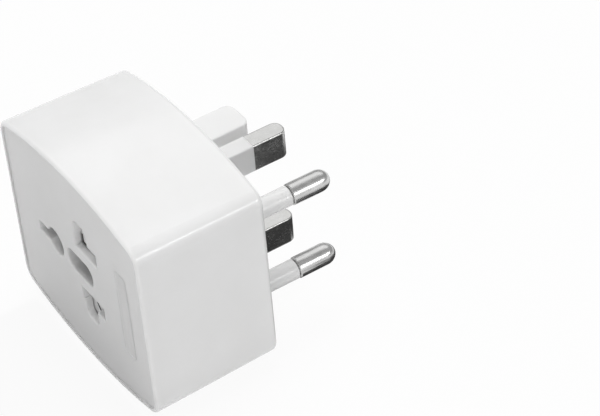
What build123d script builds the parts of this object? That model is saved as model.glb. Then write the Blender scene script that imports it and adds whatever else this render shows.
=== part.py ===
from build123d import *
import math
import os

# Universal travel adapter: one socket on the front, three slide-out plug sets on the back.
# Frame, in millimetres: origin at the middle of the wall face, +Y out along the plug pins,
# +Z up, +X to the right as seen from the socket. The case fills y = -case_depth to 0.

# ---- case ----
case_width = 52.4
case_height = 47.9
case_depth = 28.4
bow_radius = 97.0
corner_radius = 3.7
draft_deg = 1.2
side_wall = 1.8
wall_plate = 2.0
rim_width = 1.0
plate_recess = 0.3
plate_thick = 1.6
plate_gap = 0.05
front_edge_round = 0.7
wall_edge_round = 1.2

# ---- fits ----
seat_gap = 0.1
slide_gap = 0.2
part_gap = 0.3
shaft_gap = 0.05

# ---- case screws ----
screw_x = -19.0
screw_z = 9.5
screw_bore_radius = 2.5
screw_bore_depth = 10.0
screw_web = 1.5
screw_tube_wall = 0.6
screw_head_radius = 2.2
screw_head_height = 1.8
screw_shank_radius = 1.1
screw_grip = 9.0
screw_tip_room = 0.5
thread_gap = 0.02
screw_head_round = 0.5
cross_arm = 1.4
cross_width = 0.6
cross_depth = 0.9
post_wall = 1.6

# ---- socket in the front plate ----
live_slot_width = 8.4
live_slot_low = 5.3
live_slot_high = 8.5
live_slot_left = 0.0
pin_window_left = 0.5
pin_window_right = 5.2
pin_window_high = 12.4
pin_window_flat = 1.5
earth_x = -9.0
earth_radius = 3.0
earth_slot_left = -15.5
earth_slot_height = 2.6
centre_hole_width = 9.7
centre_hole_height = 5.0
centre_hole_round = 2.2
centre_hole_x = 0.6
label_x = 17.85
label_width = 4.1
label_height = 21.0
label_corner = 1.0
label_depth = 0.2
hole_edge_round = 0.4
collar_wall = 0.5
earth_slot_collar_wall = 0.4
earth_slot_collar = 0.9
earth_collar = 1.9
centre_collar = 1.2

# ---- UK set ----
uk_pin_x = 3.8
uk_pin_z = 11.1
uk_pin_width = 4.0
uk_pin_height = 6.35
uk_pin_out = 18.0
uk_sleeve_out = 10.0
uk_earth_x = -18.4
uk_earth_width = 8.0
uk_earth_height = 4.0
uk_carriage_thick = 1.6
uk_flange_thick = 0.6
uk_flange_lip = 0.9
sleeve_wall = 0.4
uk_slot_gap = 0.12
uk_tip_round = 1.8
uk_earth_tip_round = 2.0
pin_edge_round = 0.35
uk_holder_wall = 0.5
uk_holder_top = 1.0
uk_bar_gap = 0.5
uk_bar_width = 3.6
uk_link_height = 2.4
uk_link_width = 1.6
uk_link_gap = 0.35
uk_earth_holder_wall = 0.6
uk_earth_stub_x = 1.0
uk_earth_stub_z = 0.8

# ---- EU set ----
eu_pin_x = 17.4
eu_pin_z = 9.5
eu_tip_radius = 2.25
eu_sleeve_radius = 2.1
eu_core_radius = 1.6
eu_tip_length = 9.4
eu_spare_room = 0.5
eu_neck = 0.25
eu_carriage_thick = 2.2
eu_bar_width = 6.7
eu_bar_height = 26.0
eu_flange_radius = 3.3
eu_tip_bevel = 0.2
eu_nose_length = 2.6
eu_nose_round = 0.55
eu_nose_share = 0.62
eu_bar_round = 2.0
eu_arm_low = -18.2
eu_arm_lift = 1.0
eu_arm_left = -20.0
eu_riser_right = -17.5
eu_hole_gap = 0.2

# ---- US and AU set ----
us_blade_x = -7.2
us_blade_z = 6.35
us_blade_width = 6.35
us_blade_thick = 1.5
us_spare_room = 1.0
us_blade_hole_radius = 1.6
us_blade_hole_from_tip = 5.1
us_carriage_thick = 3.0
us_holder_half = 3.45
us_link_width = 2.7
us_link_notch = 2.6
blade_corner = 1.1
blade_bevel = 0.45
pivot_radius = 1.6
clip_radius = 2.5
clip_thick = 0.4
clip_groove = 0.4
clip_slack = 0.05
clip_mouth = 1.6
pivot_end = 0.4
flange_radius = 3.8
flange_thick = 0.8

# ---- rating pad on the wall face ----
pad_left = -0.5
pad_width = 20.0
pad_height = 9.4
pad_corner = 0.6
pad_depth = 0.15

# ---- turning discs in the wall plate ----
disc_radius = 4.2
disc_flange_radius = 4.9
disc_flange_thick = 0.7
disc_slot_gap = 0.14
mark_radius = 7.4
mark_width = 0.5
mark_depth = 0.2
mark_half_angle = 38.0
mark_head_width = 2.2
mark_head_side = 1.8
disc_bevel = 0.25

# ---- sliding knobs on the left side ----
tab_height = 3.0
tab_reach = 1.1
knob_length = 6.0
knob_height = 5.0
knob_thick = 1.7
knob_z = 14.4
us_knob_z = -4.55
knob_ridges = 4
ridge_width = 0.6
ridge_height = 0.35
knob_round = 1.0
knob_bevel = 0.35

# ---- contacts ----
bus_thick = 0.4
bus_band_width = 3.2
ring_width = 1.6
contact_thick = 0.4
contact_left = -0.4
contact_right = 8.4
contact_low = 5.0
contact_high = 7.55
contact_top_gap = 1.4
contact_base_depth = 7.0
housing_wall = 0.5
tail_width = 3.0
bus_gap = 0.15
bus_frame_gap = 0.2
bus_band_shift = 0.4
bus_flange_lap = 0.3

# ---- shutter ----
shutter_thick = 0.7
shutter_left = -0.8
shutter_right = 9.2
shutter_low = 4.8
shutter_high = 13.2
bridge_left = 9.5
bridge_right = 12.5
shutter_travel = 8.8
spring_radius = 0.8
spring_wire = 0.4
spring_turns = 7
spring_seat_x = -5.2
seat_thick = 0.6
spring_stop_thick = 0.8
arm_height = 1.4
slit = 0.35
live_slit_x = 3.8
live_slit_z = 9.1
live_slit_up = 2.1
live_slit_down = 1.5
live_slit_length = 2.9
neutral_slit_x = 5.6
neutral_slit_z = 7.1
neutral_slit_up = 2.2
neutral_slit_length = 2.3
rib_height = 0.8
rib_width = 0.8

# ---- snap legs of the front plate ----
snap_leg_thick = 1.2
snap_leg_width = 5.0
snap_leg_z = 6.5
snap_leg_length = 5.5
snap_barb = 0.6
snap_barb_length = 1.8
snap_pocket_room = 0.4

# ---- planes that stack along the depth ----
front_y = -case_depth
plate_front = front_y + plate_recess
plate_back = plate_front + plate_thick
shutter_front = plate_back + slide_gap
shutter_back = shutter_front + shutter_thick
floor_y = -wall_plate
bus_top = floor_y - bus_thick
stop_y = bus_top - slide_gap
side_taper = math.tan(math.radians(draft_deg)) * case_depth
wall_width = case_width - 2 * side_taper
cavity_half = wall_width / 2 - side_wall
outer_left = -case_width / 2
slide_room = stop_y - slide_gap - shutter_back
uk_travel = slide_room - uk_carriage_thick
eu_travel = slide_room - flange_thick - eu_carriage_thick - eu_spare_room
pivot_tail = clip_thick + slide_gap + pivot_end
us_travel = slide_room - flange_thick - us_carriage_thick - pivot_tail - us_spare_room
eu_pin_out = eu_travel
eu_sleeve_out = eu_pin_out - eu_tip_length
spring_z = contact_low - seat_gap - housing_wall - slide_gap - spring_radius


def block(x0, x1, y0, y1, z0, z1):
    """Box between two corners."""
    middle = ((x0 + x1) / 2, (y0 + y1) / 2, (z0 + z1) / 2)
    return Pos(*middle) * Box(abs(x1 - x0), abs(y1 - y0), abs(z1 - z0))


def rod(x, z, radius, y0, y1):
    """Cylinder along Y from y0 to y1."""
    turn = Rot(90, 0, 0)
    return Pos(x, (y0 + y1) / 2, z) * turn * Cylinder(radius, abs(y1 - y0))


def bowed_outline(inset):
    """Front outline, moved inwards by inset: straight sides, bowed top and bottom, round corners."""
    half = case_width / 2
    crown = case_height / 2
    sag = bow_radius - math.sqrt(bow_radius ** 2 - half ** 2)
    shoulder = crown - sag
    top = ThreePointArc((-half, shoulder), (0, crown), (half, shoulder))
    right = Line((half, shoulder), (half, -shoulder))
    bottom = ThreePointArc((half, -shoulder), (0, -crown), (-half, -shoulder))
    left = Line((-half, -shoulder), (-half, shoulder))
    face = make_face(Curve() + [top, right, bottom, left])
    face = fillet(face.vertices(), corner_radius)
    return offset(face, -inset) if inset else face


def bowed_block(inset, y0, y1):
    """The outline, inset all round, drawn out from y0 to y1."""
    sketch = bowed_outline(inset)
    solid = extrude(Plane.XZ * sketch, amount=-(y1 - y0))
    return Pos(0, y0, 0) * solid


def slab_pin(width, height, y0, y1, side_round):
    """Rectangular pin from y0 to y1, its outer end rounded across the width and its long edges eased."""
    pin = Pos(0, (y0 + y1) / 2, 0) * Box(width, y1 - y0, height)
    tip = pin.faces().sort_by(Axis.Y)[-1]
    pin = fillet(tip.edges().filter_by(Axis.Z), side_round)
    outline = pin.faces().filter_by(Axis.Z).edges()
    eased = [edge for edge in outline if edge.center().Y > y0 + pin_edge_round]
    return fillet(eased, pin_edge_round)


def mirrored(part, side):
    """The part itself for side 1, its mirror image below the middle for side -1."""
    return part if side > 0 else mirror(part, about=Plane.XY)


def ring_arrow(side):
    """Shallow curved arrow beside a disc, on its outer side."""
    half_width = mark_width / 2
    band = Circle(mark_radius + half_width) - Circle(mark_radius - half_width)
    reach = mark_radius * 3
    spread = reach * math.tan(math.radians(mark_half_angle))
    wedge = make_face(Polyline((0, 0), (-spread, reach), (spread, reach), close=True))
    arc = band & wedge
    end = math.radians(90 - mark_half_angle)
    tip = Pos(mark_radius * math.cos(end), mark_radius * math.sin(end))
    head = tip * Rot(0, 0, -mark_half_angle) * Triangle(a=mark_head_width, b=mark_head_side, c=mark_head_side,
                                                    rotation=-90)
    mark = extrude(Plane.XZ * (arc + head), amount=mark_depth * 2, both=True)
    mark = mirrored(mark, side)
    return Pos(us_blade_x, 0, side * us_blade_z) * (mark & rod(0, 0, reach, -mark_depth, mark_depth))


# ---------------------------------------------------------------- case
def make_rear_shell():
    outline = bowed_outline(0)
    outer = extrude(Plane.XZ.offset(case_depth) * outline, amount=-case_depth, taper=draft_deg)
    outer = fillet(outer.faces().sort_by(Axis.Y)[-1].edges(), wall_edge_round)
    outer = fillet(outer.faces().sort_by(Axis.Y)[0].edges(), front_edge_round)
    shell = outer - bowed_block(side_wall + side_taper, plate_back, floor_y)
    shell -= bowed_block(rim_width, front_y - 1, plate_back)
    tube_end = -(screw_bore_depth + screw_web)
    for side in (1, -1):
        z = side * screw_z
        tube = rod(screw_x, z, screw_bore_radius + screw_tube_wall, tube_end, floor_y)
        shell += tube
        shell -= rod(screw_x, z, screw_bore_radius, -screw_bore_depth, 1)
        shell -= rod(screw_x, z, screw_shank_radius + seat_gap, tube_end - 1, -screw_bore_depth)
        shell -= rod(us_blade_x, side * us_blade_z, disc_radius + shaft_gap, floor_y - 1, 1)
        shell -= rod(us_blade_x, side * us_blade_z, disc_flange_radius + shaft_gap,
                     floor_y - 1, floor_y + disc_flange_thick + seat_gap)
        shell -= rod(eu_pin_x, side * eu_pin_z, eu_tip_radius + eu_hole_gap, floor_y - 1, 1)
        half_x = uk_pin_width / 2 + uk_slot_gap
        half_z = uk_pin_height / 2 + uk_slot_gap
        shell -= block(uk_pin_x - half_x, uk_pin_x + half_x, floor_y - 1, 1,
                       side * uk_pin_z - half_z, side * uk_pin_z + half_z)
        shell -= ring_arrow(side)
        leg = side * snap_leg_z
        barb_y = plate_back + snap_leg_length
        shell -= block(cavity_half - seat_gap, cavity_half + snap_barb + slide_gap,
                       barb_y - snap_barb_length - snap_pocket_room, barb_y + snap_pocket_room,
                       leg - snap_leg_width / 2 - slide_gap, leg + snap_leg_width / 2 + slide_gap)
    half_x = uk_earth_width / 2 + uk_slot_gap
    half_z = uk_earth_height / 2 + uk_slot_gap
    shell -= block(uk_earth_x - half_x, uk_earth_x + half_x, floor_y - 1, 1, -half_z, half_z)
    pad = Pos(pad_left + pad_width / 2, 0) * RectangleRounded(pad_width, pad_height, pad_corner)
    shell -= Pos(0, -pad_depth, 0) * extrude(Plane.XZ * pad, amount=-1)
    for z, travel, thick, stop in knob_rows():
        half = tab_height / 2 + slide_gap
        shell -= block(outer_left - 1, -cavity_half + part_gap, stop - thick - travel - slide_gap,
                       stop + slide_gap, z - half, z + half)
    return shell


def knob_rows():
    """Height, travel, thickness and outer stop of each knob's tab."""
    us_stop = stop_y - flange_thick
    return ((knob_z, uk_travel, uk_carriage_thick, stop_y),
            (us_knob_z, us_travel, us_carriage_thick, us_stop),
            (-knob_z, eu_travel, eu_carriage_thick, us_stop))


def socket_hole(side):
    """Live or neutral opening: a flat slot with a wider window for a round pin."""
    y0, y1 = plate_front - 1, plate_back + 1
    slot = block(live_slot_left, live_slot_left + live_slot_width, y0, y1, live_slot_low, live_slot_high)
    window = block(pin_window_left, pin_window_right, y0, y1, live_slot_low, pin_window_high)
    corner = (pin_window_right - pin_window_left - pin_window_flat) / 2
    top_edges = window.edges().filter_by(Axis.Y).sort_by(Axis.Z)[-2:]
    window = fillet(top_edges, corner)
    return mirrored(slot + window, side)


def earth_well(wall, slot_wall, y0, depth, slot_depth):
    """Round earth well with the flat slot on its left."""
    half = earth_slot_height / 2 + slot_wall
    well = rod(earth_x, 0, earth_radius + wall, y0, y0 + depth)
    return well + block(earth_slot_left - slot_wall, earth_x, y0, y0 + slot_depth, -half, half)


def centre_well(wall, y0, depth):
    outline = Pos(centre_hole_x, 0) * RectangleRounded(centre_hole_width + 2 * wall,
                                                      centre_hole_height + 2 * wall,
                                                      centre_hole_round + wall)
    return Pos(0, y0, 0) * extrude(Plane.XZ * outline, amount=-depth)


def make_socket_plate():
    plate = bowed_block(rim_width + plate_gap, plate_front, plate_back)
    for side in (1, -1):
        plate -= socket_hole(side)
        z = side * screw_z
        post_end = -(screw_bore_depth + screw_web) - seat_gap
        plate += rod(screw_x, z, screw_shank_radius + post_wall, plate_back, post_end)
        pilot_end = -(screw_bore_depth + screw_grip + screw_tip_room)
        plate -= rod(screw_x, z, screw_shank_radius + thread_gap, pilot_end, 0)
        rib_low = shutter_high + slide_gap
        plate += mirrored(block(shutter_left, bridge_left + shutter_travel, plate_back,
                                plate_back + rib_height, rib_low, rib_low + rib_width), side)
        stop_left = shutter_right - spring_stop_thick - slide_gap
        plate += mirrored(block(stop_left, stop_left + spring_stop_thick, plate_back, spring_y()
                                + spring_radius, spring_z - spring_radius, spring_z + spring_radius), side)
        plate += snap_leg(side)
    plate += earth_well(collar_wall, earth_slot_collar_wall, plate_back, earth_collar, earth_slot_collar)
    plate += centre_well(collar_wall, plate_back, centre_collar)
    cut_depth = plate_thick + earth_collar + 2
    plate -= earth_well(0, 0, plate_front - 1, cut_depth, cut_depth)
    plate -= centre_well(0, plate_front - 1, plate_thick + centre_collar + 2)
    front = plate.faces().filter_by(Axis.Y).sort_by(Axis.Y)[0]
    plate = fillet(front.inner_wires().edges(), hole_edge_round)
    label = Pos(label_x, 0) * RectangleRounded(label_width, label_height, label_corner)
    label = Pos(0, plate_front - 1, 0) * extrude(Plane.XZ * label, amount=-(1 + label_depth))
    return plate - label


def snap_leg(side):
    """Leg behind the plate's right edge, with a barb that hooks into the side wall."""
    outer_x = cavity_half - slide_gap
    end_y = plate_back + snap_leg_length
    barb_y = end_y - snap_barb_length
    inner_x = outer_x - snap_leg_thick
    profile = Polyline((inner_x, plate_back), (outer_x, plate_back), (outer_x, barb_y),
                       (outer_x + snap_barb, barb_y), (outer_x, end_y), (inner_x, end_y), close=True)
    leg = extrude(make_face(profile), amount=snap_leg_width / 2, both=True)
    return Pos(0, 0, side * snap_leg_z) * leg


def make_case_screws():
    screws = []
    for side in (1, -1):
        z = side * screw_z
        seat = -screw_bore_depth
        head = rod(screw_x, z, screw_head_radius, seat, seat + screw_head_height)
        head = fillet(head.faces().sort_by(Axis.Y)[-1].edges(), screw_head_round)
        shank = rod(screw_x, z, screw_shank_radius, seat - screw_grip, seat)
        top = seat + screw_head_height
        cross = Pos(screw_x, top, z) * Box(2 * cross_arm, 2 * cross_depth, cross_width)
        cross += Pos(screw_x, top, z) * Box(cross_width, 2 * cross_depth, 2 * cross_arm)
        screws.append(head + shank - cross)
    return screws


# ---------------------------------------------------------------- shutter
def spring_y():
    """Depth of the springs' centre line, just clear of the centre hole's collar."""
    return plate_back + centre_collar + slide_gap / 2 + spring_radius


def make_shutter():
    body = block(bridge_left, bridge_right, shutter_front, shutter_back, -shutter_high, shutter_high)
    for side in (1, -1):
        wing = block(shutter_left, bridge_left, shutter_front, shutter_back, shutter_low, shutter_high)
        if side > 0:
            x, z = live_slit_x, live_slit_z
            wing -= block(x, x + slit, shutter_front - 1, shutter_back + 1, z, z + live_slit_up)
            x_end = x + live_slit_length
            wing -= block(x, x_end, shutter_front - 1, shutter_back + 1, z - slit, z)
            wing -= block(x_end - slit, x_end, shutter_front - 1, shutter_back + 1, z - live_slit_down, z)
        else:
            x, z = neutral_slit_x, neutral_slit_z
            wing -= block(x, x + slit, shutter_front - 1, shutter_back + 1, z - neutral_slit_up, z)
            x_end = x + neutral_slit_length
            wing -= block(x, x_end, shutter_front - 1, shutter_back + 1, z, z + slit)
        arm_left = spring_seat_x - seat_thick
        wing += block(arm_left, shutter_left, shutter_front, shutter_back,
                      shutter_low, shutter_low + arm_height)
        clear_z = centre_hole_height / 2 + collar_wall + slide_gap
        wing += block(arm_left, spring_seat_x, shutter_front, shutter_back,
                      clear_z, shutter_low + slide_gap)
        wing += block(arm_left, spring_seat_x, shutter_front, spring_y() + spring_radius,
                      clear_z, spring_z + spring_radius)
        wing += block(arm_left, spring_seat_x, spring_y() - spring_radius, spring_y() + spring_radius,
                      spring_z - spring_radius, spring_z + spring_radius)
        body += mirrored(wing, side)
    return body


def make_shutter_springs():
    """Two compression springs between the shutter's arms and the stops on the plate."""
    start = spring_seat_x + spring_wire / 2 + seat_gap / 2
    end = shutter_right - spring_stop_thick - slide_gap - spring_wire / 2 - seat_gap / 2
    length = end - start
    springs = []
    for side in (1, -1):
        helix = Helix(length / spring_turns, length, spring_radius - spring_wire / 2)
        section = (helix ^ 0) * Circle(spring_wire / 2)
        coil = sweep(section, path=helix, is_frenet=True)
        springs.append(Pos(start, spring_y(), side * spring_z) * Rot(0, 90, 0) * coil)
    return springs


# ---------------------------------------------------------------- contacts
def make_contact(side):
    """U-shaped spring contact: a blade goes between its limbs, a round pin rubs its outer limb."""
    top = shutter_back + contact_top_gap
    base = floor_y - contact_base_depth
    outer = block(contact_left, contact_right, top, base, contact_low, contact_high)
    gap = block(contact_left - 1, contact_right + 1, top - 1, base - contact_thick,
                contact_low + contact_thick, contact_high - contact_thick)
    tail_x = (contact_left + contact_right) / 2
    tail = block(tail_x - tail_width / 2, tail_x + tail_width / 2, base, bus_top,
                 contact_high - contact_thick, contact_high)
    return mirrored(outer - gap + tail, side)


def make_housing(side):
    """Insulating block on the wall plate that carries the contact and backs its inner limb."""
    base = floor_y - contact_base_depth
    left, right = contact_left - housing_wall, contact_right + housing_wall
    top = shutter_back + seat_gap
    inner = contact_low - seat_gap - housing_wall
    foot = block(left, right, base + seat_gap, floor_y, inner, contact_high - contact_thick - seat_gap)
    back = block(left, right, top, floor_y, inner, inner + housing_wall)
    ears = block(left, left + housing_wall - seat_gap, top, floor_y, inner, contact_high)
    ears += block(right - housing_wall + seat_gap, right, top, floor_y, inner, contact_high)
    return mirrored(foot + back + ears, side)


def make_bus(side):
    """Flat strip on the wall plate, with a ring at each pin that its pin's root meets when out."""
    band_low = contact_high + bus_gap
    centre_z = band_low + bus_band_width / 2 + bus_band_shift
    strip = Pos((us_blade_x + eu_pin_x) / 2, centre_z) * Rectangle(eu_pin_x - us_blade_x, bus_band_width)
    strip += Pos(eu_pin_x, eu_pin_z) * Circle(eu_tip_radius + eu_hole_gap + ring_width)
    strip += Pos(us_blade_x, us_blade_z) * Circle(disc_radius + ring_width)
    frame_x = uk_pin_width / 2 + uk_slot_gap + bus_frame_gap
    frame_z = uk_pin_height / 2 + uk_slot_gap + bus_frame_gap
    frame_high = uk_pin_z + frame_z + ring_width
    strip += Pos(uk_pin_x, (band_low + frame_high) / 2) * Rectangle(2 * (frame_x + ring_width),
                                                                   frame_high - band_low)
    strip -= Pos(uk_pin_x, uk_pin_z) * Rectangle(2 * frame_x, 2 * frame_z)
    strip -= Pos(eu_pin_x, eu_pin_z) * Circle(eu_tip_radius + eu_hole_gap)
    strip -= Pos(us_blade_x, us_blade_z) * Circle(flange_radius - bus_flange_lap)
    solid = Pos(0, floor_y, 0) * extrude(Plane.XZ * strip, amount=bus_thick)
    return mirrored(solid, side)


# ---------------------------------------------------------------- UK set
def uk_planes():
    """Front and outer plane of the UK carriage when it is pushed out."""
    return stop_y - uk_carriage_thick, stop_y


def make_uk_carriage():
    y0, y1 = uk_planes()
    right = eu_pin_x - eu_bar_width / 2 - 2 * uk_bar_gap
    holder_left = uk_pin_x - uk_pin_width / 2 - uk_flange_lip - uk_holder_wall
    holder_low = contact_high + part_gap
    holder_high = uk_holder_high()
    link_x = uk_earth_x + uk_earth_width / 2 + uk_link_gap
    link_high = holder_high + uk_link_height
    earth_half = uk_earth_height / 2 + uk_earth_holder_wall
    body = block(right - uk_bar_width, right, y0, y1, -holder_high, holder_high)
    for side in (1, -1):
        body += mirrored(block(holder_left, right, y0, y1, holder_low, holder_high), side)
    body += block(link_x, right, y0, y1, holder_high, link_high)
    body += block(link_x - uk_link_width, link_x, y0, y1, -earth_half, link_high)
    body += block(uk_earth_x - uk_earth_width / 2 - uk_link_gap, link_x, y0, y1, -earth_half, earth_half)
    body += block(outer_left - tab_reach, link_x, y0, y1, knob_z - tab_height / 2, knob_z + tab_height / 2)
    for side in (1, -1):
        z = side * uk_pin_z
        flange = uk_pin_width / 2 + uk_flange_lip
        body -= block(uk_pin_x - flange, uk_pin_x + flange, y1 - uk_flange_thick, y1 + 1,
                      z - uk_pin_height / 2, z + uk_pin_height / 2)
        body -= block(uk_pin_x - uk_pin_width / 2 + sleeve_wall, uk_pin_x + uk_pin_width / 2 - sleeve_wall,
                      y0 - 1, y1, z - uk_pin_height / 2 + sleeve_wall, z + uk_pin_height / 2 - sleeve_wall)
    return body - Pos(uk_earth_x, 0, 0) * earth_stub(y0 - 1, y1 + 1)


def uk_holder_high():
    """Upper edge of the live pin's holder."""
    return uk_pin_z + uk_pin_height / 2 + uk_holder_top


def earth_stub(y0, y1):
    """Narrower root of the earth pin, which sits in the carriage."""
    half_x = uk_earth_width / 2 - uk_earth_stub_x
    half_z = uk_earth_height / 2 - uk_earth_stub_z
    return block(-half_x, half_x, y0, y1, -half_z, half_z)


def make_uk_pin(side):
    y0, y1 = uk_planes()
    core_x, core_z = uk_pin_width - 2 * sleeve_wall, uk_pin_height - 2 * sleeve_wall
    flange = uk_pin_width / 2 + uk_flange_lip
    pin = slab_pin(uk_pin_width, uk_pin_height, uk_sleeve_out, uk_pin_out, uk_tip_round)
    pin += block(-core_x / 2, core_x / 2, y0, uk_sleeve_out, -core_z / 2, core_z / 2)
    pin += block(-flange, flange, y1 - uk_flange_thick, y1, -uk_pin_height / 2, uk_pin_height / 2)
    return Pos(uk_pin_x, 0, side * uk_pin_z) * pin


def make_uk_sleeve(side):
    y1 = uk_planes()[1]
    sleeve = Pos(0, (y1 + uk_sleeve_out) / 2, 0) * Box(uk_pin_width, uk_sleeve_out - y1, uk_pin_height)
    sleeve = fillet(sleeve.edges().filter_by(Axis.Y), pin_edge_round)
    core_x, core_z = uk_pin_width - 2 * sleeve_wall, uk_pin_height - 2 * sleeve_wall
    sleeve -= block(-core_x / 2, core_x / 2, y1 - 1, uk_sleeve_out + 1, -core_z / 2, core_z / 2)
    return Pos(uk_pin_x, 0, side * uk_pin_z) * sleeve


def make_uk_earth_pin():
    y0, y1 = uk_planes()
    pin = slab_pin(uk_earth_width, uk_earth_height, y1, uk_travel, uk_earth_tip_round)
    return Pos(uk_earth_x, 0, 0) * (pin + earth_stub(y0, y1))


# ---------------------------------------------------------------- EU set
def eu_planes():
    outer = stop_y - flange_thick
    return outer - eu_carriage_thick, outer


def make_eu_carriage():
    y0, y1 = eu_planes()
    left, right = eu_pin_x - eu_bar_width / 2, eu_pin_x + eu_bar_width / 2
    half = eu_bar_height / 2
    arm_high = -uk_holder_high() - part_gap
    body = block(left, right, y0, y1, eu_arm_low + eu_arm_lift, half)
    body = fillet(body.edges().filter_by(Axis.Y).sort_by(Axis.Z)[-2:], eu_bar_round)
    body += block(eu_arm_left, left + eu_bar_round, y0, y1, eu_arm_low, arm_high)
    low, high = -knob_z - tab_height / 2, -knob_z + tab_height / 2
    body += block(outer_left - tab_reach, eu_arm_left, y0, y1, low, high)
    body += block(eu_arm_left, eu_riser_right, y0, y1, eu_arm_low, high)
    for side in (1, -1):
        body -= rod(eu_pin_x, side * eu_pin_z, eu_core_radius, y0 - 1, y1 + 1)
    return body


def make_eu_pin(side):
    y0 = eu_planes()[0]
    root = stop_y - flange_thick
    shoulder = eu_sleeve_out + eu_neck
    nose = eu_pin_out - eu_nose_length
    half_round = [Line((0, y0), (eu_core_radius, y0)), Line((eu_core_radius, y0), (eu_core_radius, root)),
                  Line((eu_core_radius, root), (eu_flange_radius, root)),
                  Line((eu_flange_radius, root), (eu_flange_radius, stop_y)),
                  Line((eu_flange_radius, stop_y), (eu_core_radius, stop_y)),
                  Line((eu_core_radius, stop_y), (eu_core_radius, shoulder)),
                  Line((eu_core_radius, shoulder), (eu_tip_radius - eu_tip_bevel, shoulder)),
                  Line((eu_tip_radius - eu_tip_bevel, shoulder), (eu_tip_radius, shoulder + eu_tip_bevel)),
                  Line((eu_tip_radius, shoulder + eu_tip_bevel), (eu_tip_radius, nose)),
                  Spline((eu_tip_radius, nose), (eu_nose_share * eu_tip_radius, eu_pin_out - eu_nose_round),
                         (0, eu_pin_out), tangents=((0, 1), (-1, 0))),
                  Line((0, eu_pin_out), (0, y0))]
    pin = revolve(make_face(Curve() + half_round), axis=Axis.Y)
    return Pos(eu_pin_x, 0, side * eu_pin_z) * pin


def make_eu_sleeve(side):
    sleeve = rod(0, 0, eu_sleeve_radius, stop_y, eu_sleeve_out)
    sleeve = fillet(sleeve.faces().sort_by(Axis.Y)[-1].edges(), eu_tip_bevel)
    sleeve -= rod(0, 0, eu_core_radius, stop_y - 1, eu_sleeve_out + 1)
    return Pos(eu_pin_x, 0, side * eu_pin_z) * sleeve


# ---------------------------------------------------------------- US and AU set
def us_planes():
    """Front and outer plane of the US carriage, with its blades pushed in."""
    outer = stop_y - flange_thick - us_travel
    return outer - us_carriage_thick, outer


def make_us_carriage():
    y0, y1 = us_planes()
    left = us_blade_x - us_holder_half
    link_left = left - us_link_width
    body = block(link_left, left, y0, y1, -us_blade_z - us_holder_half, us_blade_z + us_holder_half)
    for side in (1, -1):
        low = us_blade_z - us_holder_half
        body += mirrored(block(left - 1, us_blade_x + us_holder_half, y0, y1, low,
                               us_blade_z + us_holder_half), side)
    body -= block(earth_x - earth_radius, left + 1, y0 - 1, y1 + 1, -us_link_notch, us_link_notch)
    body += block(outer_left - tab_reach, link_left + 1, y0, y1, us_knob_z - tab_height / 2,
                  us_knob_z + tab_height / 2)
    for side in (1, -1):
        body -= rod(us_blade_x, side * us_blade_z, pivot_radius + shaft_gap, y0 - 1, y1 + 1)
    return body


def make_us_blade(side):
    y0, y1 = us_planes()
    root = y1 + flange_thick
    tip = 0.0
    blade = Pos(0, (root + tip) / 2, 0) * Box(us_blade_width, tip - root, us_blade_thick)
    corners = blade.edges().filter_by(Axis.Z).sort_by(Axis.Y)[-2:]
    blade = chamfer(corners, blade_corner)
    blade = chamfer(blade.faces().sort_by(Axis.Y)[-1].edges().filter_by(Axis.X), blade_bevel)
    hole_y = tip - us_blade_hole_from_tip
    blade -= Pos(0, hole_y, 0) * Cylinder(us_blade_hole_radius, us_blade_thick * 2)
    blade += rod(0, 0, flange_radius, y1, root)
    end = y0 - pivot_tail
    pivot = rod(0, 0, pivot_radius, end, y1)
    groove_front = y0 - clip_thick - 2 * clip_slack
    groove = rod(0, 0, pivot_radius + 1, groove_front, y0 - clip_slack)
    groove -= rod(0, 0, pivot_radius - clip_groove, groove_front, y0 - clip_slack)
    return Pos(us_blade_x, 0, side * us_blade_z) * (blade + pivot - groove)


def make_clip(side):
    """Open ring in the groove of a blade's pivot, in front of the carriage."""
    y0 = us_planes()[0]
    near = y0 - 1.5 * clip_slack
    far = y0 - clip_thick - clip_slack
    ring = rod(0, 0, clip_radius, far, near)
    ring -= rod(0, 0, pivot_radius - clip_groove + thread_gap, near - 1, near + 1)
    mouth = block(0, clip_radius + 1, near - 1, near + 1, -clip_mouth / 2, clip_mouth / 2)
    return Pos(us_blade_x, 0, side * us_blade_z) * (ring - mouth)


def make_disc(side):
    """Turning disc flush in the wall plate, with the slot that the blade slides through."""
    flange_back = floor_y + seat_gap / 2
    disc = rod(0, 0, disc_radius, flange_back, 0)
    disc = chamfer(disc.faces().sort_by(Axis.Y)[-1].edges(), disc_bevel)
    disc += rod(0, 0, disc_flange_radius, flange_back, flange_back + disc_flange_thick)
    half_x = us_blade_width / 2 + disc_slot_gap
    half_z = us_blade_thick / 2 + disc_slot_gap
    disc -= block(-half_x, half_x, -10, 10, -half_z, half_z)
    return Pos(us_blade_x, 0, side * us_blade_z) * disc


# ---------------------------------------------------------------- knobs
def make_knob(z, y0, y1):
    """Ridged thumb pad outside the left wall, pressed on to its carriage's tab."""
    inner = outer_left - slide_gap
    outer = inner - knob_thick
    middle = (y0 + y1) / 2
    pad = block(outer, inner, middle - knob_length / 2, middle + knob_length / 2,
                z - knob_height / 2, z + knob_height / 2)
    pad = fillet(pad.edges().filter_by(Axis.X), knob_round)
    pad = chamfer(pad.faces().sort_by(Axis.X)[0].edges(), knob_bevel)
    pitch = knob_length / (knob_ridges + 1)
    for step in range(knob_ridges):
        y = middle + (step - (knob_ridges - 1) / 2) * pitch
        pad -= block(outer - 1, outer + ridge_height, y - ridge_width / 2, y + ridge_width / 2,
                     z - knob_height, z + knob_height)
    pad -= block(outer_left - tab_reach, inner + 1, y0, y1, z - tab_height / 2, z + tab_height / 2)
    return pad


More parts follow.
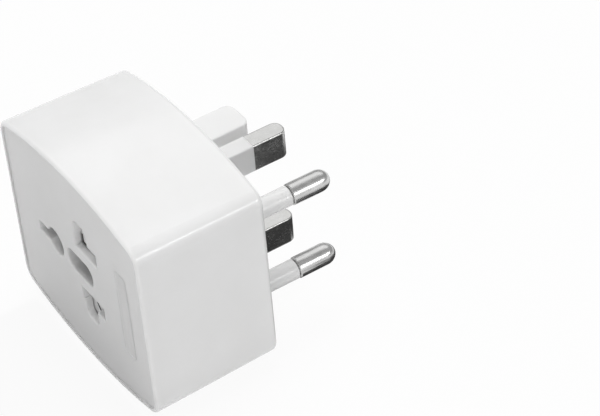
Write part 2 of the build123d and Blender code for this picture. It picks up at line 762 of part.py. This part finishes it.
# ---------------------------------------------------------------- write the sub-parts
def save(name, shape):
    solids = shape if isinstance(shape, list) else [shape]
    flat = [solid for item in solids for solid in item.solids()]
    whole = flat[0] if len(flat) == 1 else Compound(children=flat)
    whole.label = name
    export_step(whole, f"parts/{name}.step")


def main():
    os.makedirs("parts", exist_ok=True)
    save("rear_shell", make_rear_shell())
    save("socket_plate", make_socket_plate())
    save("case_screws", make_case_screws())
    save("shutter", make_shutter())
    save("shutter_springs", make_shutter_springs())
    save("uk_carriage", make_uk_carriage())
    save("uk_earth_pin", make_uk_earth_pin())
    save("uk_knob", make_knob(knob_z, *uk_planes()))
    save("eu_carriage", make_eu_carriage())
    save("eu_knob", make_knob(-knob_z, *eu_planes()))
    save("us_carriage", make_us_carriage())
    save("us_knob", make_knob(us_knob_z, *us_planes()))
    for line, side in (("live", 1), ("neutral", -1)):
        save(f"{line}_contact", make_contact(side))
        save(f"{line}_contact_housing", make_housing(side))
        save(f"{line}_bus", make_bus(side))
        save(f"uk_{line}_pin", make_uk_pin(side))
        save(f"uk_{line}_sleeve", make_uk_sleeve(side))
        save(f"eu_{line}_pin", make_eu_pin(side))
        save(f"eu_{line}_sleeve", make_eu_sleeve(side))
        save(f"us_{line}_blade", make_us_blade(side))
        save(f"{line}_blade_clip", make_clip(side))
        save(f"{line}_disc", make_disc(side))


main()
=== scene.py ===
import math

import bpy
from mathutils import Matrix, Vector


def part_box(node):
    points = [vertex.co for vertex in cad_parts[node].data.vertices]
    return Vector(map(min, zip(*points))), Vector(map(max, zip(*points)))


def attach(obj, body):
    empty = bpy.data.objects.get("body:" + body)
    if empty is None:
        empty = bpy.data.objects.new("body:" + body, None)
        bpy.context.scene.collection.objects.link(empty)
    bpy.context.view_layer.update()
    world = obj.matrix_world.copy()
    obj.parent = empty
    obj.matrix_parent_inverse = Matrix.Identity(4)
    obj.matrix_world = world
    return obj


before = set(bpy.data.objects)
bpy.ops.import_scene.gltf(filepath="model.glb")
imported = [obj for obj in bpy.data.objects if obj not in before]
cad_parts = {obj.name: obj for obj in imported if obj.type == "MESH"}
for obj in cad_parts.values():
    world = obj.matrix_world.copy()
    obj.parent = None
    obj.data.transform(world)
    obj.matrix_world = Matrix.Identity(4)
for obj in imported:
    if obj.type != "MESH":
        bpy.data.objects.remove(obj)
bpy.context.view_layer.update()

# ------------------------------------------------------------------ sizes, in metres
MM = 0.001
floor_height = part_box("rear_shell")[0][2]

# ------------------------------------------------------------------ camera
CAMERA_PLACE = (0.31844, -0.16574, 0.30533)
CAMERA_AZIMUTH = math.radians(59.39)
CAMERA_ELEVATION = math.radians(40.65)
CAMERA_ROLL = math.radians(-5.0)
CAMERA_LENS = 142.68


def add_camera():
    data = bpy.data.cameras.new("camera")
    data.sensor_width = 36.0
    data.lens = CAMERA_LENS
    data.clip_start = 0.01
    data.clip_end = 10.0
    camera = bpy.data.objects.new("camera", data)
    bpy.context.collection.objects.link(camera)
    turn = Matrix.Rotation(CAMERA_AZIMUTH, 4, "Z")
    tilt = turn @ Matrix.Rotation(math.pi / 2 - CAMERA_ELEVATION, 4, "X")
    roll = Matrix.Rotation(CAMERA_ROLL, 4, "Z")
    camera.matrix_world = Matrix.Translation(CAMERA_PLACE) @ tilt @ roll
    bpy.context.scene.camera = camera


# ------------------------------------------------------------------ materials
class Finish:
    """One procedural material: a Principled shader and helpers that feed its sockets."""

    def __init__(self, name):
        self.material = bpy.data.materials.new(name)
        self.material.use_nodes = True
        self.nodes = self.material.node_tree.nodes
        self.links = self.material.node_tree.links
        self.shader = self.nodes["Principled BSDF"]
        self.place = self.add("ShaderNodeTexCoord").outputs["Object"]

    def add(self, kind, **settings):
        node = self.nodes.new(kind)
        for key, value in settings.items():
            setattr(node, key, value)
        return node

    def join(self, output, target):
        self.links.new(output, target)

    def set(self, **sockets):
        for name, value in sockets.items():
            self.shader.inputs[name.replace("_", " ")].default_value = value

    def stretched(self, scale):
        """Coordinates stretched, for streaks that run along an axis."""
        return self.turned((0.0, 0.0, 0.0), scale)

    def noise(self, per_metre, detail=3.0, roughness=0.5, vector=None):
        node = self.add("ShaderNodeTexNoise")
        node.inputs["Scale"].default_value = per_metre
        node.inputs["Detail"].default_value = detail
        node.inputs["Roughness"].default_value = roughness
        self.join(vector or self.place, node.inputs["Vector"])
        return node.outputs["Fac"]

    def ramp(self, factor, low, high, start=0.35, end=0.65):
        node = self.add("ShaderNodeValToRGB")
        node.color_ramp.elements[0].position = start
        node.color_ramp.elements[1].position = end
        node.color_ramp.elements[0].color = low
        node.color_ramp.elements[1].color = high
        self.join(factor, node.inputs["Fac"])
        return node.outputs["Color"]

    def between(self, factor, low, high, start=0.0, end=1.0):
        node = self.add("ShaderNodeMapRange")
        node.inputs["From Min"].default_value = start
        node.inputs["From Max"].default_value = end
        node.inputs["To Min"].default_value = low
        node.inputs["To Max"].default_value = high
        self.join(factor, node.inputs["Value"])
        return node.outputs["Result"]

    def math(self, operation, first, second):
        node = self.add("ShaderNodeMath", operation=operation)
        for socket, value in zip(node.inputs, (first, second)):
            if isinstance(value, (int, float)):
                socket.default_value = value
            else:
                self.join(value, socket)
        return node.outputs[0]

    def darken(self, colour, amount):
        """The colour times one minus the amount, which is a socket from 0 to 1."""
        node = self.add("ShaderNodeVectorMath", operation="SCALE")
        self.join(colour, node.inputs[0])
        self.join(self.math("SUBTRACT", 1.0, amount), node.inputs["Scale"])
        return node.outputs["Vector"]

    def turned(self, angles, scale):
        """Coordinates turned and stretched, for scratches that run one way."""
        mapping = self.add("ShaderNodeMapping")
        mapping.inputs["Rotation"].default_value = angles
        mapping.inputs["Scale"].default_value = scale
        self.join(self.place, mapping.inputs["Vector"])
        return mapping.outputs["Vector"]

    def scratches(self, per_metre, angles, rarity=0.66):
        """1 on a few fine lines, 0 elsewhere."""
        lines = self.noise(per_metre, detail=1.0, vector=self.turned(angles, (1.0, 0.02, 1.0)))
        thin = self.between(lines, 0.0, 1.0, rarity, rarity + 0.04)
        sparse = self.between(self.noise(140.0, detail=1.0), 0.0, 1.0, 0.5, 0.62)
        return self.math("MULTIPLY", thin, sparse)

    def edges(self, radius):
        """1 along sharp edges, 0 on flat faces."""
        rounded = self.add("ShaderNodeBevel", samples=6)
        rounded.inputs["Radius"].default_value = radius
        likeness = self.add("ShaderNodeVectorMath", operation="DOT_PRODUCT")
        self.join(rounded.outputs["Normal"], likeness.inputs[0])
        self.join(self.add("ShaderNodeNewGeometry").outputs["Normal"], likeness.inputs[1])
        return self.between(likeness.outputs["Value"], 1.0, 0.0, 0.85, 0.995)

    def bump(self, height, distance, strength=1.0, under=None):
        node = self.add("ShaderNodeBump")
        node.inputs["Distance"].default_value = distance
        node.inputs["Strength"].default_value = strength
        self.join(height, node.inputs["Height"])
        if under is not None:
            self.join(under, node.inputs["Normal"])
        return node.outputs["Normal"]


def grey(level, warm=0.0):
    """A grey, or with warm a slightly yellow one."""
    return (level, level * (1 - warm * 0.15), level * (1 - warm), 1.0)


PLASTIC_CLOUDINESS = 0.012
EDGE_WEAR = 0.06
GLOW_REACH = 0.002


def moulded_plastic(name, level, roughness, grain=0.4, wave=0.0, glow=0.0):
    """White moulded plastic: faint cloudiness, texture of the mould, handling marks, and edges and inside
    corners a little darker and rougher.
    """
    finish = Finish(name)
    edge = finish.edges(0.00035)
    cloud = finish.noise(70.0, detail=3.0)
    colour = finish.ramp(cloud, grey(level - PLASTIC_CLOUDINESS, 0.004), grey(level + PLASTIC_CLOUDINESS))
    # 3 % darker along edges and in inside corners, wherever the bevel mask fires
    colour = finish.darken(colour, finish.math("MULTIPLY", edge, EDGE_WEAR * 0.5))
    finish.join(colour, finish.shader.inputs["Base Color"])
    texture = finish.noise(6500.0, detail=2.0)
    smudges = finish.between(finish.noise(45.0, detail=4.0, roughness=0.6), 0.0, 1.0, 0.45, 0.75)
    one_way = finish.scratches(900.0, (0.4, 0.2, 0.7))
    other_way = finish.scratches(1200.0, (0.9, -0.5, -0.3))
    lines = finish.math("MAXIMUM", one_way, other_way)
    gloss = finish.between(texture, roughness - 0.03, roughness + 0.03)
    for mark, share in ((smudges, 0.05), (lines, 0.07), (edge, EDGE_WEAR)):
        gloss = finish.math("ADD", gloss, finish.math("MULTIPLY", mark, share))
    finish.join(gloss, finish.shader.inputs["Roughness"])
    peel = finish.bump(finish.noise(420.0, detail=1.0), 0.00002 * wave)
    finish.join(finish.bump(texture, 0.000004 * grain, under=peel), finish.shader.inputs["Normal"])
    finish.set(IOR=1.5)
    if glow:
        finish.set(Subsurface_Weight=glow, Subsurface_Scale=GLOW_REACH, Subsurface_Radius=(1.0, 1.0, 1.0))
    return finish.material


METAL_UNEVENNESS = 0.04


def plated_metal(name, level, roughness, warm, drawn=(1.0, 1.0, 1.0), streak=2600.0, depth=0.000003):
    """Drawn or plated metal: streaks along its length, faint blotches and rubbed edges."""
    finish = Finish(name)
    edge = finish.edges(0.0003)
    lines = finish.noise(streak, detail=4.0, roughness=0.65, vector=finish.stretched(drawn))
    blotch = finish.noise(380.0, detail=3.0, roughness=0.6)
    dull = grey(level - METAL_UNEVENNESS, warm)
    clear = grey(level + METAL_UNEVENNESS, warm * 0.7)
    colour = finish.ramp(blotch, dull, clear)
    colour = finish.darken(colour, finish.between(lines, 0.10, 0.0, 0.3, 0.55))
    finish.join(colour, finish.shader.inputs["Base Color"])
    gloss = finish.between(lines, roughness * 0.75, roughness * 1.35, 0.3, 0.7)
    gloss = finish.math("ADD", gloss, finish.between(blotch, 0.0, 0.06, 0.4, 0.7))
    gloss = finish.math("SUBTRACT", gloss, finish.math("MULTIPLY", edge, 0.06))
    finish.join(gloss, finish.shader.inputs["Roughness"])
    grain = finish.bump(finish.noise(16000.0, detail=1.0), 0.0000006)
    finish.join(finish.bump(lines, depth, under=grain), finish.shader.inputs["Normal"])
    finish.set(Metallic=1.0)
    return finish.material


def gap_painted_shade(name):
    """Near-black, with a little dust, for the strips of painted shade that stand for the dark narrow gaps.
    """
    finish = Finish(name)
    dust = finish.noise(2500.0, detail=2.0)
    finish.join(finish.ramp(dust, grey(0.016), grey(0.03)), finish.shader.inputs["Base Color"])
    finish.join(finish.between(dust, 0.7, 0.95), finish.shader.inputs["Roughness"])
    finish.join(finish.bump(dust, 0.000004), finish.shader.inputs["Normal"])
    return finish.material


def give(material, *nodes):
    for node in nodes:
        piece = bpy.data.objects[node]
        piece.data.materials.clear()
        piece.data.materials.append(material)


def finish_everything():
    along = (1.0, 0.03, 1.0)
    case = moulded_plastic("case_gloss_white", 0.83, 0.15, wave=1.0, glow=0.4)
    plate = moulded_plastic("plate_satin_white", 0.80, 0.40, grain=1.6, glow=0.6)
    # inner parts a little greyer than the plate: painted shade for the insides of the openings
    inner = moulded_plastic("inner_white_painted_shade", 0.74, 0.48, grain=1.6, glow=0.4)
    # pin sleeves lighter than the case's white: painted light on the sleeves' sides
    uk_sleeve = moulded_plastic("uk_sleeve_white_painted_light", 0.88, 0.18, grain=0.2, glow=0.5)
    eu_sleeve = moulded_plastic("eu_sleeve_white_painted_light", 0.84, 0.13, grain=0.2, glow=0.3)
    knob = moulded_plastic("knob_white", 0.80, 0.38, grain=1.6)
    slightly_along = (1.0, 0.25, 1.0)
    satin = plated_metal("nickel_satin", 0.62, 0.19, 0.02, slightly_along, 6500.0, 0.0000008)
    bright = plated_metal("nickel_bright", 0.66, 0.25, 0.01, along, 4000.0, 0.0000018)
    brass = plated_metal("contact_brass", 0.66, 0.35, 0.55, drawn=(1.0, 0.1, 1.0))
    steel = plated_metal("steel", 0.60, 0.3, 0.0)
    give(case, "rear_shell")
    give(plate, "socket_plate")
    give(inner, "shutter", "uk_carriage", "eu_carriage", "us_carriage")
    give(case, "uk_earth_pin")
    give(knob, "uk_knob", "eu_knob", "us_knob")
    give(steel, "case_screws", "shutter_springs")
    for line in ("live", "neutral"):
        give(inner, f"{line}_contact_housing", f"{line}_disc")
        give(brass, f"{line}_contact", f"{line}_bus")
        give(steel, f"{line}_blade_clip")
        give(satin, f"uk_{line}_pin", f"us_{line}_blade")
        give(bright, f"eu_{line}_pin")
        give(uk_sleeve, f"uk_{line}_sleeve")
        give(eu_sleeve, f"eu_{line}_sleeve")
    # black strips on the shutter: painted shade for the dark gaps beside its leaves
    make_painted_gap_shade_strips(gap_painted_shade("gap_painted_shade"))
    make_pad_slope(moulded_plastic("pad_white", 0.73, 0.40, grain=1.6))


# ------------------------------------------------------------------ pieces shaped by hand
def start_piece(name, low, high):
    """A block between two corners in millimetres, ready to be shaped in edit mode."""
    bpy.ops.object.select_all(action="DESELECT")
    centre = [(a + b) / 2 * MM for a, b in zip(low, high)]
    size = [abs(b - a) * MM for a, b in zip(low, high)]
    bpy.ops.mesh.primitive_cube_add(size=1, location=centre, scale=size)
    piece = bpy.context.object
    piece.name = name
    bpy.ops.object.transform_apply(location=True, rotation=True, scale=True)
    return piece


def pick_faces(piece, chosen):
    """Selects the faces that chosen(centre in mm, normal) says, in edit mode."""
    bpy.ops.object.mode_set(mode="EDIT")
    bpy.ops.mesh.select_mode(type="FACE")
    bpy.ops.mesh.select_all(action="DESELECT")
    bpy.ops.object.mode_set(mode="OBJECT")
    for face in piece.data.polygons:
        face.select = chosen(face.center / MM, face.normal)
    bpy.ops.object.mode_set(mode="EDIT")


def pick_edges(piece, chosen):
    """Selects the edges that chosen(first end in mm, second end in mm) says, in edit mode."""
    bpy.ops.object.mode_set(mode="EDIT")
    bpy.ops.mesh.select_mode(type="EDGE")
    bpy.ops.mesh.select_all(action="DESELECT")
    bpy.ops.object.mode_set(mode="OBJECT")
    points = piece.data.vertices
    for edge in piece.data.edges:
        first, second = edge.vertices
        edge.select = chosen(points[first].co / MM, points[second].co / MM)
    bpy.ops.object.mode_set(mode="EDIT")


def push_faces(offset):
    bpy.ops.mesh.extrude_region_move(TRANSFORM_OT_translate={"value": [value * MM for value in offset]})


def cut_across(place, normal):
    bpy.ops.object.mode_set(mode="EDIT")
    bpy.ops.mesh.select_all(action="SELECT")
    bpy.ops.mesh.bisect(plane_co=[value * MM for value in place], plane_no=normal)


def end_piece(piece, material, body, bevel=0.0):
    """Softens the edges, gives the finish and hangs the piece on its body."""
    bpy.ops.object.mode_set(mode="OBJECT")
    if bevel:
        softened = piece.modifiers.new("softened", "BEVEL")
        softened.width = bevel * MM
        softened.segments = 2
        softened.limit_method = "ANGLE"
        bpy.ops.object.modifier_apply(modifier="softened")
    bpy.ops.object.shade_smooth_by_angle(angle=math.radians(35))
    piece.data.materials.append(material)
    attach(piece, body)


STRIP_PROUD = 0.05
STRIP_SUNK = 0.06
STRIP_EDGE = 0.03
LIVE_STRIP_CORNER = (0.1, 5.3)
LIVE_STRIP_WIDTH = 0.42
LIVE_STRIP_HEIGHT = 2.3
LIVE_STRIP_FOOT = 2.6
NEUTRAL_STRIP_TOP = (2.1, -8.9)
NEUTRAL_STRIP_LENGTH = 2.7
NEUTRAL_STRIP_HALF = 0.18
NEUTRAL_STRIP_FLARE = 1.9
NEUTRAL_STRIP_LEAN = math.radians(38)


def make_painted_gap_shade_strips(material):
    """Thin black strips on the shutter's face, painted shade for the dark gaps beside its leaves: an angle
    and a wedge.
    """
    face_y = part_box("shutter")[0][1] / MM
    front = face_y - STRIP_PROUD
    back = face_y + STRIP_SUNK
    x, z = LIVE_STRIP_CORNER
    bend = z + LIVE_STRIP_WIDTH
    # painted shade: an angle of black strip where the live opening's gap reads dark
    live = start_piece(
        "live_shutter_painted_shade",
        (x, front, z),
        (x + LIVE_STRIP_WIDTH, back, z + LIVE_STRIP_HEIGHT),
    )
    cut_across((0, 0, bend), (0, 0, 1))
    pick_faces(live, lambda centre, normal: normal.x > 0.9 and centre.z < bend)
    push_faces((LIVE_STRIP_FOOT, 0, 0))
    end_piece(live, material, "shutter", bevel=STRIP_EDGE)
    x, z = NEUTRAL_STRIP_TOP
    low_z = z - NEUTRAL_STRIP_LENGTH
    # painted shade: a black wedge where the neutral opening's gap reads dark
    neutral = start_piece(
        "neutral_shutter_painted_shade",
        (x - NEUTRAL_STRIP_HALF, front, low_z),
        (x + NEUTRAL_STRIP_HALF, back, z),
    )
    pick_faces(neutral, lambda centre, normal: normal.z < -0.9)
    low_end = (x * MM, face_y * MM, low_z * MM)
    bpy.ops.transform.resize(value=(NEUTRAL_STRIP_FLARE, 1, 1), center_override=low_end)
    bpy.ops.mesh.select_all(action="SELECT")
    top_end = (x * MM, face_y * MM, z * MM)
    bpy.ops.transform.rotate(value=NEUTRAL_STRIP_LEAN, orient_axis="Y", center_override=top_end)
    end_piece(neutral, material, "shutter", bevel=STRIP_EDGE)


PAD_CENTRE_X = 17.85
PAD_SIZE = (4.1, 21.0)
PAD_CORNER = 1.0
PAD_DEPTH = 0.2
PAD_SLOPE = 0.32
PAD_LIP = 0.02
PAD_BACKING = 0.05


def make_pad_slope(material):
    """Sloping border inside the bare rating pad's recess."""
    face_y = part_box("socket_plate")[0][1] / MM
    half_x, half_z = PAD_SIZE[0] / 2, PAD_SIZE[1] / 2
    low = (PAD_CENTRE_X - half_x, face_y - PAD_LIP, -half_z)
    high = (PAD_CENTRE_X + half_x, face_y + PAD_DEPTH + PAD_BACKING, half_z)
    border = start_piece("rating_pad_border", low, high)
    pick_edges(border, lambda first, second: abs(first.y - second.y) > 0.05)
    bpy.ops.mesh.bevel(offset=PAD_CORNER * MM, segments=6, affect="EDGES")
    pick_faces(border, lambda centre, normal: normal.y < -0.9)
    bpy.ops.mesh.inset(thickness=PAD_SLOPE * MM, depth=-PAD_DEPTH * MM)
    end_piece(border, material, "casing")


# ------------------------------------------------------------------ floor, lamps and world
FLOOR_WHITE = 0.93
ROOM_LEVEL = 0.40
FLOOR_SIZE = 6.0
FLOOR_GAP = 0.0001
CARD_LIFT = 0.0005


def add_floor():
    """Pale floor: its shadow shows faintly, and metal reflects it white."""
    bpy.ops.object.select_all(action="DESELECT")
    bpy.ops.mesh.primitive_plane_add(size=FLOOR_SIZE, location=(0, 0, floor_height - FLOOR_GAP))
    floor = bpy.context.object
    floor.name = "floor"
    material = bpy.data.materials.new("floor_white")
    material.use_nodes = True
    nodes, links = material.node_tree.nodes, material.node_tree.links
    nodes.clear()
    out = nodes.new("ShaderNodeOutputMaterial")
    mix = nodes.new("ShaderNodeMixShader")
    matt = nodes.new("ShaderNodeBsdfDiffuse")
    matt.inputs["Color"].default_value = grey(0.80)
    glow = nodes.new("ShaderNodeEmission")
    glow.inputs["Color"].default_value = grey(1.0)
    path = nodes.new("ShaderNodeLightPath")
    seen = nodes.new("ShaderNodeMath")
    seen.operation = "MAXIMUM"
    mirrored = nodes.new("ShaderNodeMath")
    mirrored.operation = "MAXIMUM"
    share = nodes.new("ShaderNodeMath")
    share.operation = "MULTIPLY"
    share.inputs[1].default_value = FLOOR_WHITE
    links.new(path.outputs["Is Glossy Ray"], mirrored.inputs[0])
    links.new(path.outputs["Is Transmission Ray"], mirrored.inputs[1])
    links.new(path.outputs["Is Camera Ray"], seen.inputs[0])
    links.new(mirrored.outputs[0], seen.inputs[1])
    links.new(seen.outputs[0], share.inputs[0])
    links.new(share.outputs[0], mix.inputs["Fac"])
    links.new(matt.outputs[0], mix.inputs[1])
    links.new(glow.outputs[0], mix.inputs[2])
    links.new(mix.outputs[0], out.inputs["Surface"])
    floor.data.materials.append(material)


def add_dark_card(name, outline, mirrored):
    """Black card lying by the adapter, as a studio uses it: in the metal's reflections or in the bounce."""
    bpy.ops.object.select_all(action="DESELECT")
    place = (0, 0, floor_height + CARD_LIFT)
    bpy.ops.mesh.primitive_circle_add(vertices=len(outline), fill_type="NGON", location=place)
    card = bpy.context.object
    card.name = name
    for vertex, (x, y) in zip(card.data.vertices, outline):
        vertex.co = (x * MM, y * MM, 0.0)
    material = bpy.data.materials.new(name + "_black")
    material.use_nodes = True
    shader = material.node_tree.nodes["Principled BSDF"]
    shader.inputs["Base Color"].default_value = grey(0.06)
    shader.inputs["Roughness"].default_value = 1.0
    shader.inputs["Specular IOR Level"].default_value = 0.0
    card.data.materials.append(material)
    card.visible_camera = False
    card.visible_shadow = False
    card.visible_diffuse = not mirrored
    card.visible_glossy = mirrored


# corners in millimetres, seen from above
PIN_CARD = [(11, 7), (27, 7), (33, 20), (37, 25), (64, 26), (68, 60), (-25, 60), (-25, 28), (11, 28)]
PLATE_CARD = [(-22, -110), (26, -110), (26, -29), (-22, -29)]


def add_cards():
    add_dark_card("pin_card", PIN_CARD, mirrored=True)
    add_dark_card("plate_card", PLATE_CARD, mirrored=False)


def add_lamp(name, place, size, power, aim=(0.0, -0.014, 0.0)):
    data = bpy.data.lights.new(name, "AREA")
    data.shape = "RECTANGLE"
    data.size, data.size_y = size
    data.energy = power
    lamp = bpy.data.objects.new(name, data)
    bpy.context.collection.objects.link(lamp)
    lamp.location = place
    lamp.rotation_mode = "QUATERNION"
    lamp.rotation_quaternion = (Vector(aim) - Vector(place)).to_track_quat("-Z", "Y")
    return lamp


def add_world():
    """Soft white room, as white as the floor where the camera sees it."""
    world = bpy.data.worlds.new("studio")
    world.use_nodes = True
    nodes, links = world.node_tree.nodes, world.node_tree.links
    nodes["Background"].inputs["Color"].default_value = grey(1.0)
    path = nodes.new("ShaderNodeLightPath")
    level = nodes.new("ShaderNodeMapRange")
    level.inputs["To Min"].default_value = ROOM_LEVEL
    level.inputs["To Max"].default_value = FLOOR_WHITE
    links.new(path.outputs["Is Camera Ray"], level.inputs["Value"])
    links.new(level.outputs["Result"], nodes["Background"].inputs["Strength"])
    bpy.context.scene.world = world


def light_everything():
    add_world()
    add_lamp("panel_above", (-0.29, 0.23, 0.49), (0.76, 0.42), 0.8)
    top = add_lamp("top_lamp", (-0.10, 0.02, 0.90), (0.45, 0.45), 4.0)
    top.visible_glossy = False
    add_lamp("side_lamp", (0.65, 0.12, 0.22), (0.35, 0.30), 0.45)
    add_lamp("front_right_fill", (0.50, -0.60, 0.12), (0.4, 0.4), 1.45)
    add_lamp("front_left_fill", (-0.35, -0.60, 0.15), (0.4, 0.4), 0.3)
    strip = add_lamp("strip_right", (0.41, 0.19, 0.21), (0.34, 0.06), 0.38)
    strip.visible_diffuse = False
    add_cards()


# ------------------------------------------------------------------ make it
add_camera()
finish_everything()
add_floor()
light_everything()
bpy.context.scene.view_settings.view_transform = "Standard"
